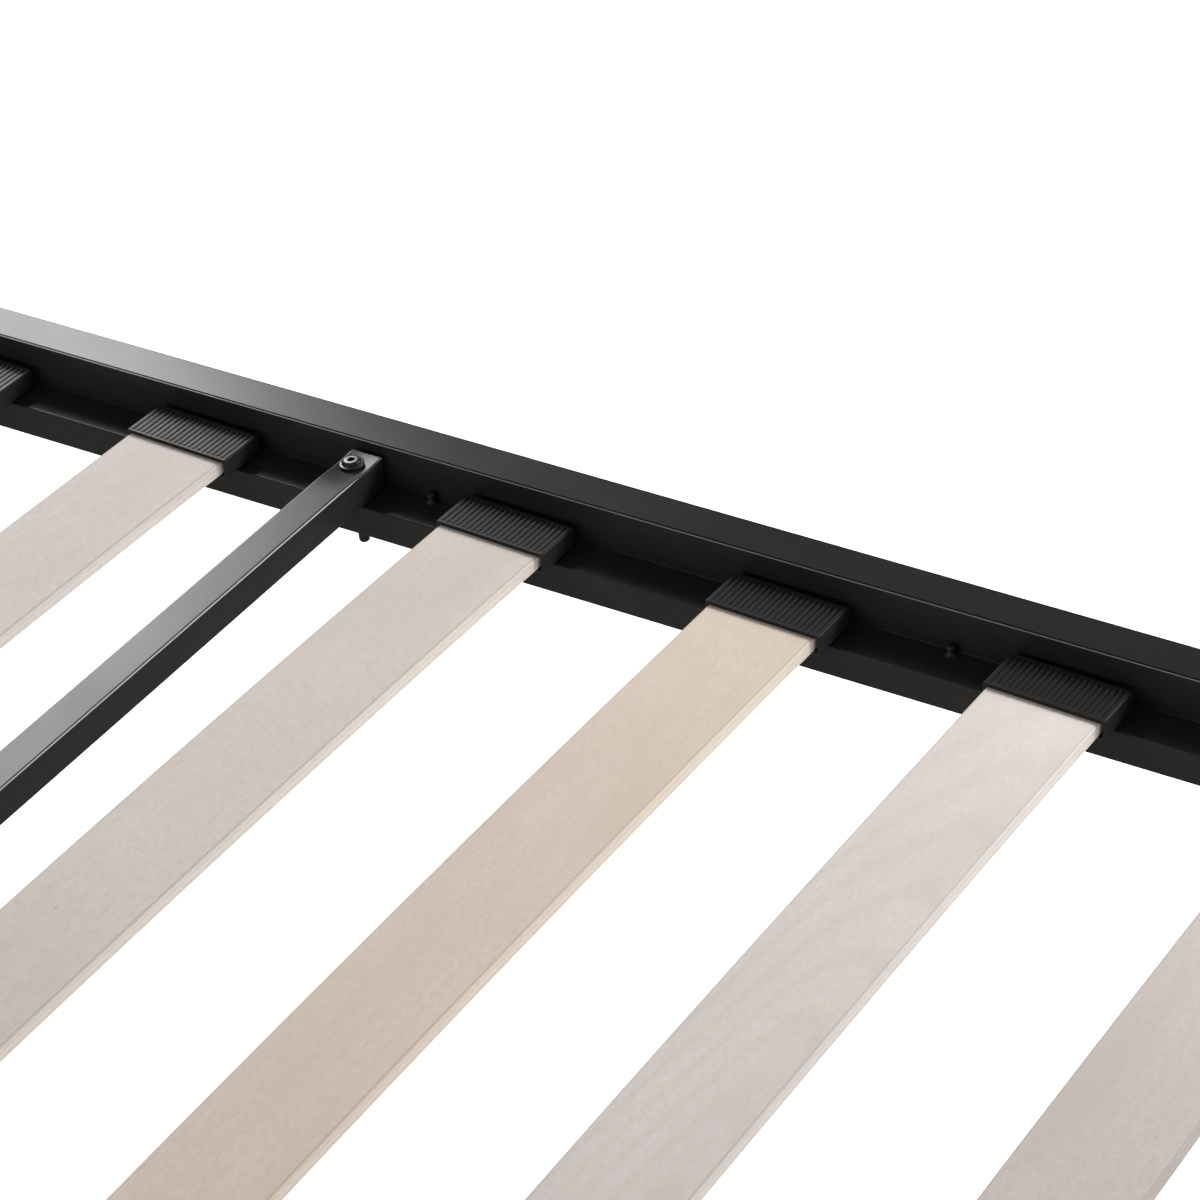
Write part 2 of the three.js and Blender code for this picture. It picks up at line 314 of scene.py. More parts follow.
# A painted highlight: the coat is drawn paler in a thin line along each rail's inner lip and along the
# crossbars' top edges, in place of the glints on those rounded edges.
LIP_LINE = 0.45 * MM
BAR_LINE_WIDTH = 0.4 * MM
BAR_LINE_DEPTH = 0.9 * MM
LINE_MARGIN = 0.1 * MM
LIP_PAINTED_HIGHLIGHT = (0.15, 0.147, 0.142)
BAR_PAINTED_HIGHLIGHT = (0.42, 0.41, 0.4)


def powder_coat():
    """Satin black powder coat: fine orange peel, slight variation in shade and gloss, and painted highlight
    lines along edges.
    """
    material, tree, shader = new_material("powder_coat")
    point = object_point(tree)
    grains = noise(tree, point, 1500, 2, 0.6)
    clouds = noise(tree, point, 14, 3)
    shade = mix_colour(tree, clouds, (0.0170, 0.0163, 0.0154), (0.0210, 0.0202, 0.0192))
    speck = remap(tree, grains, 0.62, 0.78, 0, 0.5)
    speckled = mix_colour(tree, speck, shade, (0.034, 0.034, 0.033))
    place = node(tree, "ShaderNodeSeparateXYZ")
    link(tree, point, place.inputs["Vector"])
    along, across = (math_node(tree, "ABSOLUTE", place.outputs[axis]) for axis in "XY")
    up = place.outputs["Z"]
    # Painted highlight: the mask of a thin band along each rail's inner top edge.
    lip = inside_box(
        tree,
        (along, 0, RAIL_HIGH.x),
        (across, WALL_Y - LINE_MARGIN, WALL_Y + LIP_LINE),
        (up, TOP - LIP_LINE, TOP),
    )
    bar_half = (BAR_HIGH.x - BAR_LOW.x) / 2
    from_bar = math_node(tree, "ABSOLUTE", math_node(tree, "SUBTRACT", along, BAR_LOW.x + bar_half))
    # Painted highlight: the mask of thin bands along the crossbars' two top edges.
    bar_highlight_mask = inside_box(
        tree,
        (from_bar, bar_half - BAR_LINE_WIDTH, bar_half + LINE_MARGIN),
        (across, 0, WALL_Y - MM),
        (up, BAR_HIGH.z - BAR_LINE_DEPTH, BAR_HIGH.z),
    )
    # The painted highlight colours go over the coat within those masks.
    lip_highlighted = mix_colour(tree, lip, speckled, LIP_PAINTED_HIGHLIGHT)
    link(tree, mix_colour(tree, bar_highlight_mask, lip_highlighted, BAR_PAINTED_HIGHLIGHT), shader.inputs["Base Color"])
    broad_gloss = remap(tree, clouds, 0.3, 0.7, 0.22, 0.26)
    fine_gloss = remap(tree, grains, 0.3, 0.7, -0.02, 0.03)
    link(tree, math_node(tree, "ADD", broad_gloss, fine_gloss), shader.inputs["Roughness"])
    shader.inputs["Specular IOR Level"].default_value = 0.11
    bump(tree, shader, noise(tree, point, 700, 1.5, 0.5), 0.12, 0.0002)
    return material


def bolt_steel():
    """Black plated fasteners, with small paler worn spots."""
    material, tree, shader = new_material("bolt_steel")
    point = object_point(tree)
    wear = remap(tree, noise(tree, point, 420, 4, 0.6), 0.45, 0.75, 0, 1)
    colour = mix_colour(tree, wear, (0.012, 0.012, 0.012), (0.028, 0.027, 0.026))
    link(tree, colour, shader.inputs["Base Color"])
    link(tree, remap(tree, wear, 0, 1, 0.28, 0.38), shader.inputs["Roughness"])
    shader.inputs["Metallic"].default_value = 0.1
    shader.inputs["Specular IOR Level"].default_value = 0.3
    bump(tree, shader, noise(tree, point, 1800, 2), 0.15, 0.0001)
    return material


def cap_plastic():
    """Black moulded plastic with a fine spark-eroded texture."""
    material, tree, shader = new_material("cap_plastic")
    point = object_point(tree)
    clouds = noise(tree, point, 60, 3)
    colour = mix_colour(tree, clouds, (0.0175, 0.017, 0.0165), (0.0225, 0.0218, 0.021))
    link(tree, colour, shader.inputs["Base Color"])
    link(tree, remap(tree, clouds, 0.3, 0.7, 0.34, 0.4), shader.inputs["Roughness"])
    shader.inputs["Specular IOR Level"].default_value = 0.08
    bump(tree, shader, noise(tree, point, 2600, 2), 0.12, 0.0001)
    return material


def foot_plastic():
    """Matt black plastic of the feet, with paler scuffs."""
    material, tree, shader = new_material("foot_plastic")
    point = object_point(tree)
    scuffs = remap(tree, noise(tree, object_point(tree, (1, 1, 4)), 160, 4, 0.65), 0.55, 0.8, 0, 1)
    colour = mix_colour(tree, scuffs, (0.012, 0.012, 0.012), (0.045, 0.044, 0.042))
    link(tree, colour, shader.inputs["Base Color"])
    link(tree, remap(tree, scuffs, 0, 1, 0.5, 0.65), shader.inputs["Roughness"])
    bump(tree, shader, noise(tree, point, 1800, 3), 0.25, 0.0002)
    return material


def rise_node(tree, y):
    """How far the slat rises above its ends at y."""
    reach = math_node(tree, "DIVIDE", y, SLAT_STRAIGHT)
    square = math_node(tree, "MINIMUM", math_node(tree, "MULTIPLY", reach, reach), 1.0)
    return math_node(tree, "MULTIPLY", math_node(tree, "SUBTRACT", 1.0, square), SLAT_BOW)


PLIES = 5
FLECK_BROWN = (0.42, 0.23, 0.12)
GLUE_BROWN = (0.33, 0.22, 0.15)


def ply_edges(tree, middle_x, short_grain, light, dark):
    """Where a slat's two long edges are, and their colour: long and end grain by turns, with glue lines."""
    place = node(tree, "ShaderNodeSeparateXYZ")
    link(tree, object_point(tree), place.inputs["Vector"])
    rise = rise_node(tree, place.outputs["Y"])
    height = math_node(tree, "SUBTRACT", math_node(tree, "SUBTRACT", place.outputs["Z"], SLAT_LOW.z), rise)
    from_middle = math_node(tree, "ABSOLUTE", math_node(tree, "SUBTRACT", place.outputs["X"], middle_x))
    half_width = (SLAT_HIGH.x - SLAT_LOW.x) / 2
    on_edge = remap(tree, from_middle, half_width - 1.6 * MM, half_width - 0.6 * MM, 0, 1)
    ply = math_node(tree, "DIVIDE", height, SLAT_THICKNESS / PLIES)
    layer = math_node(tree, "FRACT", math_node(tree, "MULTIPLY", ply, 0.5))
    odd = remap(tree, layer, 0.49, 0.51, 0, 1)
    coarse = remap(tree, noise(tree, short_grain, 1500, 3, 0.7), 0.4, 0.7, 0, 1)
    end_grain = mix_colour(tree, coarse, tinted(light, 0.96), tinted(dark, 0.86))
    plies = mix_colour(tree, odd, tinted(light, 0.97), end_grain)
    line = math_node(tree, "ABSOLUTE", math_node(tree, "SUBTRACT", math_node(tree, "FRACT", ply), 0.5))
    glue = remap(tree, line, 0.44, 0.48, 0, 0.6)
    return on_edge, mix_colour(tree, glue, plies, GLUE_BROWN)


def plywood(number, middle_x, light, dark, figure):
    """Pale sanded plywood: mottling, short fine grain, faint figure, tiny flecks, and plies on its edges."""
    material, tree, shader = new_material(f"plywood_{number}")
    rng = random.Random(int(number))
    shift = (-middle_x, rng.uniform(-3, 3), 0)
    clouds = noise(tree, object_point(tree, (1, 0.3, 1), shift), 24, 3, 0.5)
    colour = mix_colour(tree, remap(tree, clouds, 0.3, 0.7, 0, 1), light, dark)

    mottle = noise(tree, object_point(tree, (1, 0.65, 1), shift), 330, 3, 0.65)
    blotches = remap(tree, mottle, 0.42, 0.72, 0, 0.6)
    colour = mix_colour(tree, blotches, colour, tinted(dark, 0.96, 0.94, 0.92))

    grain = noise(tree, object_point(tree, (1, 0.17, 1), shift), 980, 3, 0.7)
    streaks = remap(tree, grain, 0.46, 0.76, 0, 0.5)
    colour = mix_colour(tree, streaks, colour, tinted(dark, 0.9, 0.87, 0.83))

    short_grain = object_point(tree, (1, 0.22, 1), shift)
    pores = remap(tree, noise(tree, short_grain, 1700, 2, 0.6), 0.6, 0.76, 0, 0.42)
    colour = mix_colour(tree, pores, colour, tinted(dark, 0.76))

    rings = node(tree, "ShaderNodeTexWave", wave_type="RINGS", rings_direction="Z")
    rings.inputs["Scale"].default_value = 34
    rings.inputs["Distortion"].default_value = 5
    rings.inputs["Detail"].default_value = 2
    rings.inputs["Detail Scale"].default_value = 0.6
    ring_shift = (-middle_x + rng.uniform(-0.03, 0.03), rng.uniform(-0.03, 0.03), 0)
    link(tree, object_point(tree, (1, 0.16, 1), ring_shift), rings.inputs["Vector"])
    figured = remap(tree, rings.outputs["Fac"], 0.55, 1.0, 0, figure)
    colour = mix_colour(tree, figured, colour, tinted(dark, 0.93, 0.85, 0.82))

    cells = node(tree, "ShaderNodeTexVoronoi")
    cells.inputs["Scale"].default_value = 44
    link(tree, object_point(tree, (1, 0.55, 0.2), shift), cells.inputs["Vector"])
    fleck_size = math_node(tree, "MULTIPLY", cells.outputs["Color"], 0.085)
    within = math_node(tree, "SUBTRACT", fleck_size, cells.outputs["Distance"])
    colour = mix_colour(tree, remap(tree, within, 0.015, 0.045, 0, 0.55), colour, FLECK_BROWN)

    on_edge, edge_colour = ply_edges(tree, middle_x, short_grain, light, dark)
    link(tree, mix_colour(tree, on_edge, colour, edge_colour), shader.inputs["Base Color"])

    link(tree, remap(tree, streaks, 0, 0.5, 0.54, 0.64), shader.inputs["Roughness"])
    shader.inputs["Specular IOR Level"].default_value = 0.3
    relief = math_node(tree, "ADD", grain, math_node(tree, "MULTIPLY", mottle, 0.4))
    bump(tree, shader, relief, 0.14, 0.0003)
    return material


POWDER_COAT = powder_coat()
BOLT_STEEL = bolt_steel()
CAP_PLASTIC = cap_plastic()
FOOT_PLASTIC = foot_plastic()

# ---- Side rails ----

RAIL_CORNER = 0.8 * MM
RAIL_FOLD = 0.35 * MM

# A fine seam runs along the inner top edge of each rail, with a narrow lip between it and the wall.
SEAM_LIP = 0.8 * MM
SEAM_WIDTH = 0.9 * MM
SEAM_DEPTH = 1.2 * MM
SEAM_DROP = 0.05 * MM


def recess_half_length():
    """How far the side rails reach from the middle of the bed, up to the legs."""
    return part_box("leg_head_left")[0].x - GAP


def side_rail(name, side):
    outline = rounded([
        (RAIL_LOW.y, LEDGE_BOTTOM, RAIL_CORNER),
        (RAIL_HIGH.y, LEDGE_BOTTOM, RAIL_CORNER),
        (RAIL_HIGH.y, TOP, RAIL_CORNER),
        (WALL_Y + SEAM_LIP + SEAM_WIDTH, TOP, 0.2 * MM, 0.1 * MM),
        (WALL_Y + SEAM_LIP + SEAM_WIDTH, TOP - SEAM_DEPTH, 0.08 * MM, 0.04 * MM),
        (WALL_Y + SEAM_LIP, TOP - SEAM_DEPTH, 0.08 * MM, 0.04 * MM),
        (WALL_Y + SEAM_LIP, TOP - SEAM_DROP, 0.1 * MM, 0.04 * MM),
        (WALL_Y, TOP - SEAM_DROP, 0.3 * MM, 0.1 * MM),
        (WALL_Y, LEDGE_TOP, RAIL_FOLD),
        (RAIL_LOW.y, LEDGE_TOP, RAIL_CORNER),
    ], 8)
    end = recess_half_length()
    loops = [[Vector((x, side * p.x, p.y)) for p in outline] for x in steps_between(-end, end, 12)]
    rail = solid(name, loops)
    finish_piece(rail, POWDER_COAT, "frame", "powder_coated_steel", name)


for side_name, side in SIDES:
    side_rail(f"side_rail_{side_name}", side)

# ---- End rails, legs and feet ----

LEG_BEVEL = 0.8 * MM
FOOT_BEVEL = 1.1 * MM
BEVEL_ANGLES = (0.5, 1.0, math.pi / 2)
FOOT_CORNER = 2.4 * MM
FOOT_LIP = 0.3 * MM
PLUG_INSET = 2.2 * MM


def end_rail(name):
    low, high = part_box(name)
    middle = (low + high) / 2
    outline = rectangle(high.x - low.x, high.z - low.z, RAIL_CORNER)
    loops = []
    for y in steps_between(low.y, high.y, 6):
        loops.append([Vector((middle.x + p.x, y, middle.z + p.y)) for p in outline])
    finish_piece(solid(name, loops), POWDER_COAT, "frame", "powder_coated_steel", name)


def leg(name):
    """A square leg with a bevelled top."""
    low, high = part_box(name)
    middle = (low + high) / 2
    outline = rectangle(high.x - low.x, high.y - low.y, RAIL_CORNER)
    stations = [(z, 0) for z in steps_between(low.z, high.z - LEG_BEVEL, 6)]
    for angle in BEVEL_ANGLES:
        inset = LEG_BEVEL * (1 - math.cos(angle))
        stations.append((high.z - LEG_BEVEL * (1 - math.sin(angle)), inset))
    loops = [level_loop(middle, shrunk(outline, inset), z) for z, inset in stations]
    finish_piece(solid(name, loops), POWDER_COAT, "frame", "powder_coated_steel", name)


def foot(name):
    """A flange under the leg, with a plug that goes up into it."""
    low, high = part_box(name)
    middle = (low + high) / 2
    flange_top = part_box(name.replace("foot_", "leg_", 1))[0].z - GAP
    outline = rectangle(high.x - low.x, high.y - low.y, FOOT_CORNER)
    stations = [(low.z, FOOT_BEVEL)]
    for angle in BEVEL_ANGLES:
        inset = FOOT_BEVEL * (1 - math.sin(angle))
        stations.append((low.z + FOOT_BEVEL * (1 - math.cos(angle)), inset))
    stations += [(flange_top - FOOT_LIP, 0), (flange_top, FOOT_LIP)]
    loops = [level_loop(middle, shrunk(outline, inset), z) for z, inset in stations]
    plug = level_loop(middle, shrunk(outline, PLUG_INSET), flange_top)
    loops.append(plug)
    loops.append([Vector((v.x, v.y, high.z)) for v in plug])
    finish_piece(solid(name, loops), FOOT_PLASTIC, "frame", "foot_plastic", name)


for end_name, end in ENDS:
    end_rail(f"{end_name}_rail")
    for side_name, side in SIDES:
        leg(f"leg_{end_name}_{side_name}")
        foot(f"foot_{end_name}_{side_name}")

# ---- Crossbars, pulled down a little under their bolts ----

BAR_WALL = 1.2 * MM
BAR_CORNER = 1.0 * MM
DIMPLE_DEPTH = 1.6 * MM
DIMPLE_REACH = 14 * MM
BOLT_Y = (BOLT_LOW.y + BOLT_HIGH.y) / 2


def crossbar(name):
    """An open square tube, dimpled on top around its bolts."""
    low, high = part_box(name)
    middle = (low + high) / 2
    size = high.x - low.x
    outer = rectangle(size, size, BAR_CORNER, 8)
    across = []
    for i, point in enumerate(outer):
        across.append(point)
        following = outer[(i + 1) % len(outer)]
        if (following - point).length > size / 2:
            across += [point.lerp(following, k / 12) for k in range(1, 12)]
    inner = shrunk(across, BAR_WALL)
    near_bolt = steps_between(BOLT_Y - 3 * DIMPLE_REACH, high.y, 24)
    between_bolts = steps_between(-near_bolt[0], near_bolt[0], 8)[1:-1]
    stations = [-y for y in reversed(near_bolt)] + between_bolts + near_bolt

    def pressed(point, y):
        """The point of the section at y, lower near a bolt if it is in the bar's upper half."""
        x, z = point.x, point.y
        distance = math.hypot(x, abs(y) - BOLT_Y) / DIMPLE_REACH
        depth = DIMPLE_DEPTH * math.exp(-distance * distance) if z > 0 else 0
        return Vector((middle.x + x, y, middle.z + z - depth * max(z, 0) / (size / 2)))

    outside = [[pressed(p, y) for p in across] for y in stations]
    inside = [[pressed(p, y) for p in inner] for y in stations]
    vertices, faces = skin(outside)
    append(vertices, faces, skin(inside))
    fill(vertices, faces, outside[0], inside[0])
    fill(vertices, faces, outside[-1], inside[-1])
    bar = make_object(name, vertices, faces)
    finish_piece(bar, POWDER_COAT, "frame", "powder_coated_steel", name)


for end_name, _ in ENDS:
    crossbar(f"crossbar_{end_name}")

# ---- Bolts, inserts and screws ----


def turned(profile, sides=48):
    """Loops of a turned shape, from (radius, height) pairs."""
    angles = [2 * math.pi * i / sides for i in range(sides)]
    loops = []
    for radius, height in profile:
        loops.append([Vector((radius * math.cos(a), radius * math.sin(a), height)) for a in angles])
    return loops


def arc_profile(centre, radius_x, radius_z, start, stop, steps):
    """Points of an elliptical arc in (radius, height), angles in degrees."""
    angles = [math.radians(start + (stop - start) * i / steps) for i in range(steps + 1)]
    return [(centre[0] + radius_x * math.cos(a), centre[1] + radius_z * math.sin(a)) for a in angles]


def hexagon(radius, height):
    corners = []
    for i in range(6):
        angle = math.pi / 3 * i
        corners.append(Vector((radius * math.cos(angle), radius * math.sin(angle), height)))
    return corners


def bolt(name, turn, shank, radius, flange_radius, flange, head_radius, head, socket, socket_depth):
    """A flanged button-head bolt standing on its flange at height 0, with a hexagon socket."""
    top = flange + head
    flat_radius = head_radius * 0.62
    profile = [(0.05 * MM, -shank)]
    profile += arc_profile((radius * 0.35, -shank + radius * 0.6), radius * 0.65, radius * 0.6, -90, 0, 6)
    profile += [(radius, -0.2 * MM), (flange_radius - 0.2 * MM, 0)]
    rim = flange * 0.5
    profile += arc_profile((flange_radius - rim, rim), rim, rim, -60, 80, 7)
    profile += [(head_radius + 0.15 * MM, flange + 0.05 * MM), (head_radius, flange + 0.3 * MM)]
    crown = head * 0.65
    profile += arc_profile((flat_radius, flange + head * 0.35), head_radius - flat_radius, crown, 0, 90, 8)
    loops = turned(profile)
    vertices, faces = skin(loops)
    fill(vertices, faces, loops[0])
    corner = socket / math.sqrt(3)
    mouth = hexagon(corner + 0.15 * MM, top)
    lip = hexagon(corner, top - 0.15 * MM)
    floor = hexagon(corner, top - socket_depth)
    pit = hexagon(corner * 0.3, top - socket_depth - 0.5 * MM)
    fill(vertices, faces, loops[-1], mouth)
    append(vertices, faces, skin([mouth, lip, floor, pit]))
    fill(vertices, faces, pit)
    piece = make_object(name, [turn @ v for v in vertices], faces, 40)
    finish_piece(piece, BOLT_STEEL, "frame", "black_bolt", name)


def insert_collar(name, at, bore, radius, height):
    """The rim of the threaded insert that the crossbar bolt screws into, flat under the ledge."""
    rounding = height * 0.4
    loops = turned([(bore, 0), (radius, 0), (radius, rounding - height), (radius - rounding, -height),
                    (bore + rounding, -height), (bore, rounding - height), (bore, 0)], 40)
    vertices, faces = skin(loops)
    piece = make_object(name, [v + at for v in vertices], faces, 30)
    finish_piece(piece, BOLT_STEEL, "frame", "black_bolt")


def ledge_screw(name, at, turn):
    """A small flanged round-head screw standing on the ledge, with a cross recess in its crown."""
    flange_radius, flange = 3.4 * MM, 1.0 * MM
    radius, height, crown = 2.6 * MM, 6.0 * MM, 1.5 * MM
    profile = [(flange_radius - 0.15 * MM, 0)]
    profile += arc_profile((flange_radius - 0.3 * MM, 0.4 * MM), 0.3 * MM, 0.3 * MM, -10, 80, 4)
    profile += [(radius + 0.25 * MM, flange), (radius, flange + 0.3 * MM), (radius, height - crown)]
    profile += arc_profile((radius * 0.3, height - crown), radius * 0.7, crown, 0, 90, 6)[1:]
    loops = turned(profile, 32)
    top = loops[-1][0].z
    slot, reach, deep = 0.28 * MM, radius * 0.62, 0.7 * MM
    cross = []
    for k in range(4):
        spin = Matrix.Rotation(turn + k * math.pi / 2, 3, "Z")
        cross += [spin @ Vector((x, y, 0)) for x, y in ((slot, slot), (slot, reach), (-slot, reach))]
    small = radius * 0.3 / reach * 0.95
    mouth = [Vector((v.x * small, v.y * small, top)) for v in cross]
    pit = [Vector((v.x * small, v.y * small, top - deep)) for v in cross]
    vertices, faces = skin(loops)
    fill(vertices, faces, loops[0])
    fill(vertices, faces, loops[-1], mouth)
    append(vertices, faces, skin([mouth, pit]))
    fill(vertices, faces, pit)
    piece = make_object(name, [v + at for v in vertices], faces, 40)
    finish_piece(piece, BOLT_STEEL, "frame", "black_bolt")


def spin_about(at, axis_turn):
    return Matrix.Translation(at) @ axis_turn


CROSSBAR_BOLT = {
    "radius": 3 * MM, "flange_radius": 7 * MM, "flange": 0.9 * MM,
    "head_radius": 5.4 * MM, "head": 2.1 * MM, "socket": 4 * MM, "socket_depth": 1.9 * MM,
}
CORNER_BOLT = {
    "radius": 4 * MM, "flange_radius": 8.4 * MM, "flange": 1.6 * MM,
    "head_radius": 7 * MM, "head": 3.6 * MM, "socket": 5 * MM, "socket_depth": 2.4 * MM,
}
INSERT = {"bore": 3.2 * MM, "radius": 5.6 * MM, "height": 0.9 * MM}

# How high each bolt's head stands in the frame, and how far a crossbar bolt sinks into its pressed bar.
CROSSBAR_HEAD_HEIGHT = 3.8 * MM
CORNER_HEAD_HEIGHT = 5.2 * MM
BOLT_SINK = 1 * MM
SHORTER_SHANK = 0.5 * MM

# One bolt stands a little to the side of its place in the frame and leans, its tip towards the head end.
BOLT_SHIFTS = {"foot_left": (-1.4 * MM, 1.2 * MM)}
BOLT_LEANS = {"foot_left": math.radians(4.4)}


def crossbar_bolt(corner, turn):
    """A crossbar bolt and the insert under it; both follow the bolt's lean."""
    name = f"crossbar_bolt_{corner}"
    low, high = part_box(name)
    shift_x, shift_y = BOLT_SHIFTS.get(corner, (0, 0))
    lean = BOLT_LEANS.get(corner, 0)
    seat_z = high.z - CROSSBAR_HEAD_HEIGHT - BOLT_SINK
    seat = Vector(((low.x + high.x) / 2 + shift_x, (low.y + high.y) / 2 + shift_y, seat_z))
    standing = Matrix.Rotation(-lean, 4, "Y") @ Matrix.Rotation(turn, 4, "Z")
    bolt(name, spin_about(seat, standing), seat.z - low.z - SHORTER_SHANK, **CROSSBAR_BOLT)
    tip_shift = math.tan(lean) * (seat.z - LEDGE_BOTTOM)
    under = Vector((seat.x + tip_shift, seat.y, LEDGE_BOTTOM))
    insert_collar(f"crossbar_insert_{corner}", under, **INSERT)


def corner_bolt(corner, end, turn):
    """A bolt that lies along the bed, its head on the outside of the leg."""
    name = f"corner_bolt_{corner}"
    low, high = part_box(name)
    outer = high.x if end > 0 else low.x
    seat_x = outer - end * CORNER_HEAD_HEIGHT
    seat = Vector((seat_x, (low.y + high.y) / 2, (low.z + high.z) / 2))
    facing = Matrix.Rotation(end * math.pi / 2, 4, "Y") @ Matrix.Rotation(turn, 4, "Z")
    bolt(name, spin_about(seat, facing), high.x - low.x - CORNER_HEAD_HEIGHT, **CORNER_BOLT)


for end_name, end in ENDS:
    for side_name, side in SIDES:
        corner = f"{end_name}_{side_name}"
        crossbar_bolt(corner, 0.35 + end * side)
        corner_bolt(corner, end, 0.3 + side)

# ---- Ledge screws, evenly spaced, left out where a slat's end cap is in the way ----

SCREW_PITCH = 313.5 * MM
SCREW_SHIFT = 12 * MM
SCREW_FROM_WALL = 3.6 * MM
SCREW_CLEARANCE = 6 * MM
SCREW_STEPS = range(-3, 4)


def meets_a_cap(x, side_name):
    """Whether a screw standing at x would run into one of the end caps on that side."""
    for number in SLATS:
        low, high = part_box(f"cap_{number}_{side_name}")
        if low.x - SCREW_CLEARANCE < x < high.x + SCREW_CLEARANCE:
            return True
    return False


for side_name, side in SIDES:
    for count, step in enumerate(SCREW_STEPS, start=1):
        x = SCREW_SHIFT + step * SCREW_PITCH
        at = Vector((x, side * (WALL_Y - SCREW_FROM_WALL), LEDGE_TOP))
        if not meets_a_cap(at.x, side_name):
            ledge_screw(f"ledge_screw_{side_name}_{count}", at, 0.6 + step)

# ---- Slats ----

SLAT_EDGE = 1.2 * MM


def slat_rise(y):
    """How far the slat rises above its ends at y."""
    reach = min(abs(y) / SLAT_STRAIGHT, 1)
    return SLAT_BOW * (1 - reach * reach)


def slat(number, material):
    """A bowed slat with rounded long edges."""
    name = f"slat_{number}"
    low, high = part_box(name)
    middle_x = (low.x + high.x) / 2
    outline = rectangle(high.x - low.x, SLAT_THICKNESS, SLAT_EDGE, 7)
    level = low.z + SLAT_THICKNESS / 2
    loops = []
    for y in steps_between(low.y, high.y, 72):
        loops.append([Vector((middle_x + p.x, y, level + slat_rise(y) + p.y)) for p in outline])
    finish_piece(solid(name, loops, 50), material, f"slat_set_{number}", "plywood", name)


# ---- Slat end caps ----

CAP_GROOVES = 20
GROOVE_DEPTH = 0.75 * MM
GROOVE_HALF_WIDTH = 0.62 * MM
CAP_PLAIN_FRONT = 1.9 * MM
CAP_PLAIN_BACK = 2.2 * MM
CAP_TOP_CORNER = 0.9 * MM
CAP_SIDE_WALL = 1.2 * MM
CAP_TURN = math.radians(-2.3)
CAP_SHIFT = 0.6 * MM
CAP_BOTTOM_CORNER = 2.2 * MM
CAP_FRONT_EDGE = 0.22 * MM
CAP_BACK_EDGE = 1.0 * MM
POCKET_HEIGHT = 8.6 * MM
POCKET_FLOOR = 1.8 * MM
POCKET_CORNER = 1.2 * MM

# The grooves keep clear of the cap's sides, and run out over these lengths at its front and back.
GROOVES_MARGIN = 3.4 * MM
GROOVE_FRONT_RUN = 0.9 * MM
GROOVE_BACK_RUN = 1.2 * MM

# A groove's section: places across it, in half widths, and the share of its depth there.
GROOVE_SECTION = ((-1, 0), (-0.72, 0.32), (-0.42, 0.9), (0, 1), (0.42, 0.9), (0.72, 0.32), (1, 0))


def cap_outline(width, height):
    """The cap's section from its bottom left corner, as (point, share of the groove's depth there)."""
    x = width / 2
    corners = [
        (-x, 0, CAP_BOTTOM_CORNER),
        (x, 0, CAP_BOTTOM_CORNER),
        (x, height, CAP_TOP_CORNER),
        (-x, height, CAP_TOP_CORNER),
    ]
    outline = rounded(corners, 6, 0.25 * MM)
    grooved = []
    for i, point in enumerate(outline):
        grooved.append((point, 0.0))
        following = outline[(i + 1) % len(outline)]
        if (following - point).length > width / 2 and point.y > height / 2:
            for centre in groove_centres(width):
                for share, depth in GROOVE_SECTION:
                    grooved.append((Vector((centre - share * GROOVE_HALF_WIDTH, height)), depth))
    return grooved


def groove_centres(width):
    pitch = (width - GROOVES_MARGIN) / CAP_GROOVES
    return [((CAP_GROOVES - 1) / 2 - i) * pitch for i in range(CAP_GROOVES)]


def smooth_step(value):
    value = min(max(value, 0.0), 1.0)
    return value * value * (3 - 2 * value)


def cap_offsets(depth):
    """Where the cap's section is taken, from its front edge: close together where the shape changes."""
    offsets = [CAP_FRONT_EDGE * share for share in (0, 0.25, 0.6, 1)]
    offsets += [CAP_PLAIN_FRONT + run for run in (0, 0.25 * MM, 0.55 * MM, GROOVE_FRONT_RUN)]
    back = depth - CAP_PLAIN_BACK
    offsets += steps_between(CAP_PLAIN_FRONT + 2 * MM, back - GROOVE_BACK_RUN, 4)
    offsets += [back - GROOVE_BACK_RUN / 2, back]
    offsets += [depth - left for left in (CAP_BACK_EDGE, 0.5 * MM, 0.15 * MM, 0)]
    return offsets


def cap_inset(offset, depth):
    """How far the section is drawn in at the rounded front and back edges."""
    if offset < CAP_FRONT_EDGE:
        share = 1 - offset / CAP_FRONT_EDGE
        return CAP_FRONT_EDGE * (1 - math.sqrt(1 - share ** 2))
    if offset > depth - CAP_BACK_EDGE:
        share = (offset - depth + CAP_BACK_EDGE) / CAP_BACK_EDGE
        return CAP_BACK_EDGE * (1 - math.sqrt(max(0, 1 - share ** 2)))
    return 0.0


def groove_share(offset, depth):
    """The share of their full depth that the grooves have, none at the cap's plain front and back."""
    front = smooth_step((offset - CAP_PLAIN_FRONT) / GROOVE_FRONT_RUN)
    back = smooth_step((depth - CAP_PLAIN_BACK - offset) / GROOVE_BACK_RUN)
    return min(front, back)


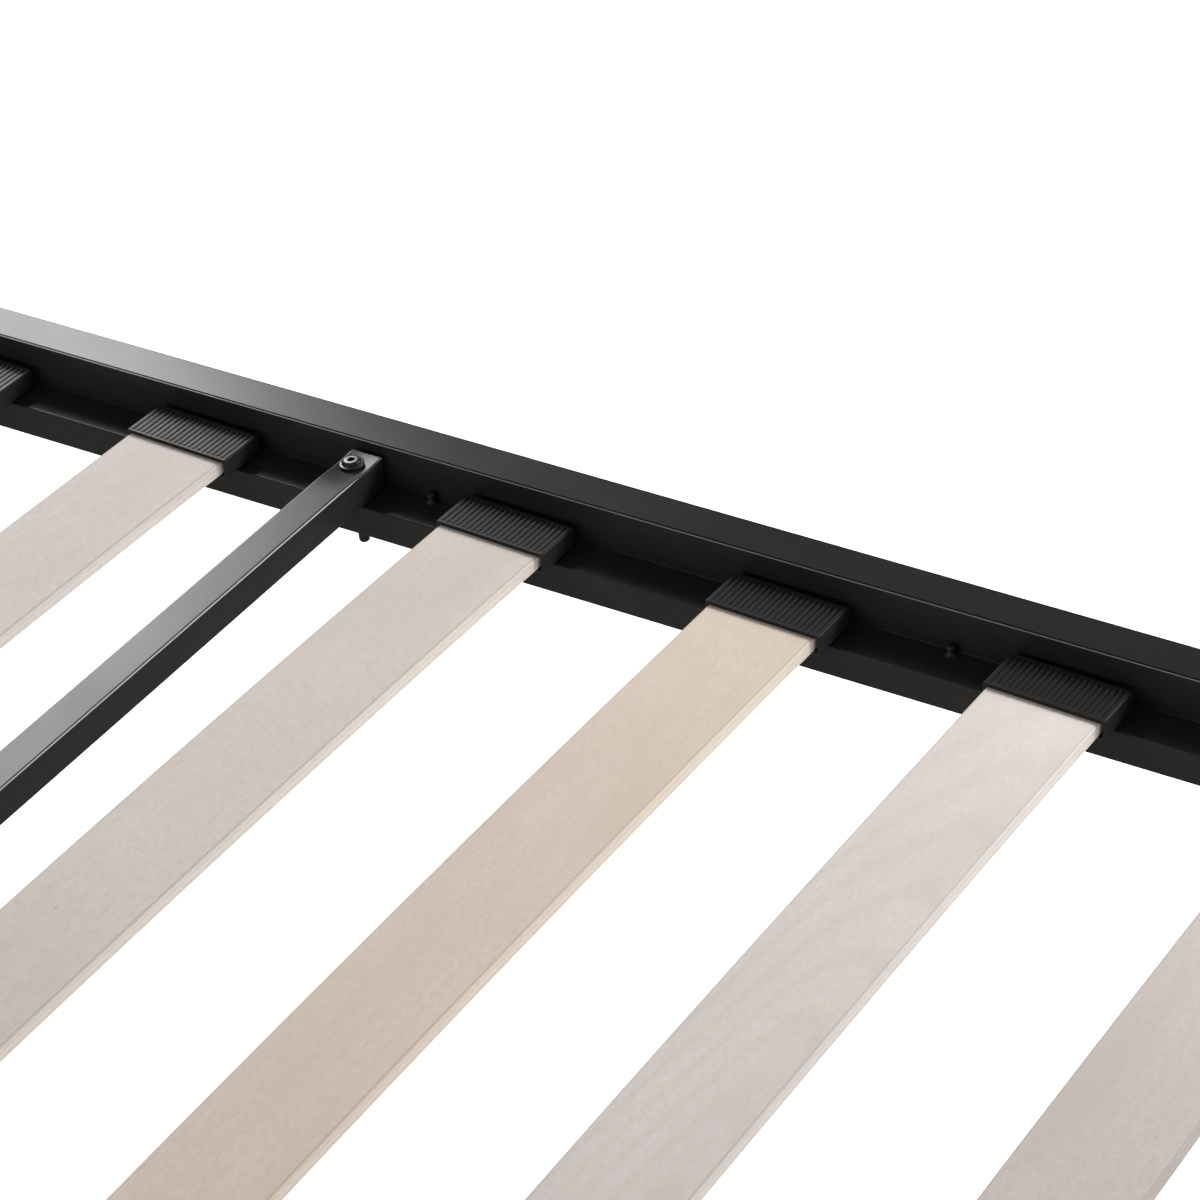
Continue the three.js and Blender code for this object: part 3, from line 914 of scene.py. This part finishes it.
def cap(number, side_name, side):
    """A slat's end cap, ribbed on top and open towards the middle of the bed."""
    name = f"cap_{number}_{side_name}"
    low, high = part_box(name)
    width, depth, height = high - low
    middle = Vector(((low.x + high.x) / 2 + CAP_SHIFT, (low.y + high.y) / 2, 0))
    turned_cap = Matrix.Rotation(CAP_TURN * side, 3, "Z")

    def place(x, z, offset):
        return middle + turned_cap @ Vector((x, side * (offset - depth / 2), low.z + z))

    section = cap_outline(width, height)
    outside = []
    for offset in cap_offsets(depth):
        inset = cap_inset(offset, depth)
        groove = groove_share(offset, depth) * GROOVE_DEPTH
        scale_x, scale_z = 1 - 2 * inset / width, 1 - 2 * inset / height
        loop = []
        for point, deep in section:
            z = height / 2 + (point.y - height / 2) * scale_z - deep * groove
            loop.append(place(point.x * scale_x, z, offset))
        outside.append(loop)
    pocket = rectangle(width - 2 * CAP_SIDE_WALL, POCKET_HEIGHT, POCKET_CORNER, 4)
    pocket_level = POCKET_FLOOR + POCKET_HEIGHT / 2
    inside = []
    for offset in (0, 0.3 * MM, 10 * MM, depth - 2 * MM):
        inside.append([place(p.x, pocket_level + p.y, offset) for p in pocket])
    vertices, faces = skin(outside)
    append(vertices, faces, skin(inside))
    fill(vertices, faces, outside[0], inside[0])
    fill(vertices, faces, outside[-1])
    fill(vertices, faces, inside[-1])
    piece = make_object(name, vertices, faces, 48)
    finish_piece(piece, CAP_PLASTIC, f"slat_set_{number}", "cap_plastic", name)


# The slats' woods, by turns: a light tone, a dark tone, and how strong the figure is.
WOODS = (
    ((0.67, 0.605, 0.57), (0.61, 0.54, 0.505), 0.08),
    ((0.68, 0.61, 0.55), (0.62, 0.545, 0.485), 0.06),
    ((0.715, 0.62, 0.525), (0.655, 0.555, 0.46), 0.1),
    ((0.75, 0.69, 0.655), (0.69, 0.625, 0.59), 0.26),
)

for i, number in enumerate(SLATS, start=1):
    low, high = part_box(f"slat_{number}")
    light, dark, figure = WOODS[i % len(WOODS)]
    wood = plywood(number, (low.x + high.x) / 2, light, dark, figure)
    slat(number, wood)
    for side_name, side in SIDES:
        cap(number, side_name, side)

# ---- Studio ----

FLOOR_REACH = 14
FLOOR_GREY = 0.9
FLOOR_GLOW = 0.7
WORLD_GLOW = 0.25


def studio_floor():
    """A plain pale floor that glows a little and isn't mirrored in the steel."""
    mesh = bpy.data.meshes.new("studio_floor")
    corners = [(x * FLOOR_REACH, y * FLOOR_REACH, 0) for x, y in ((-1, -1), (1, -1), (1, 1), (-1, 1))]
    mesh.from_pydata(corners, [], [(0, 1, 2, 3)])
    obj = bpy.data.objects.new("studio_floor", mesh)
    bpy.context.collection.objects.link(obj)
    material, tree, shader = new_material("studio_floor")
    shader.inputs["Base Color"].default_value = (FLOOR_GREY, FLOOR_GREY, FLOOR_GREY, 1)
    shader.inputs["Roughness"].default_value = 0.9
    shader.inputs["Specular IOR Level"].default_value = 0.0
    shader.inputs["Emission Color"].default_value = (1, 1, 1, 1)
    shader.inputs["Emission Strength"].default_value = FLOOR_GLOW
    mesh.materials.append(material)
    obj.visible_glossy = False


def softbox(name, subject, direction, distance, size, radiance):
    """A soft rectangular light that faces the subject from a direction; radiance in W/(m2 sr)."""
    width, height = size
    data = bpy.data.lights.new(name, "AREA")
    data.shape = "RECTANGLE"
    data.size = width
    data.size_y = height
    data.energy = radiance * math.pi * width * height
    light = bpy.data.objects.new(name, data)
    bpy.context.collection.objects.link(light)
    towards = Vector(direction).normalized()
    light.location = Vector(subject) + towards * distance
    light.rotation_euler = towards.to_track_quat("Z", "Y").to_euler()
    light.visible_camera = False


def studio():
    studio_floor()
    world = bpy.data.worlds.new("studio")
    bpy.context.scene.world = world
    world.use_nodes = True
    background = world.node_tree.nodes["Background"]
    background.inputs["Color"].default_value = (1, 1, 1, 1)
    background.inputs["Strength"].default_value = WORLD_GLOW
    rail = (0, 0.455, TOP)
    softbox("softbox_back_left", rail, (-0.6735, 0.5242, 0.5207), 4.15, (1.05, 1.35), 18.4)
    softbox("softbox_back_right", rail, (0.56, 0.69, 0.45), 1.0, (0.42, 0.48), 14.5)
    foot_crossbar = (-BAR_LOW.x, 0.3, TOP)
    softbox("rim_far_right", foot_crossbar, (0.56, 0.68, 0.47), 3.0, (0.3, 0.3), 60)
    softbox("rim_low_left", foot_crossbar, (-0.65, 0.69, 0.31), 3.0, (0.3, 0.3), 14)
    softbox("strip_front", rail, (-0.3, -0.92, 0.25), 3.0, (1.6, 0.16), 24)
    bpy.context.scene.view_settings.view_transform = "Standard"


studio()
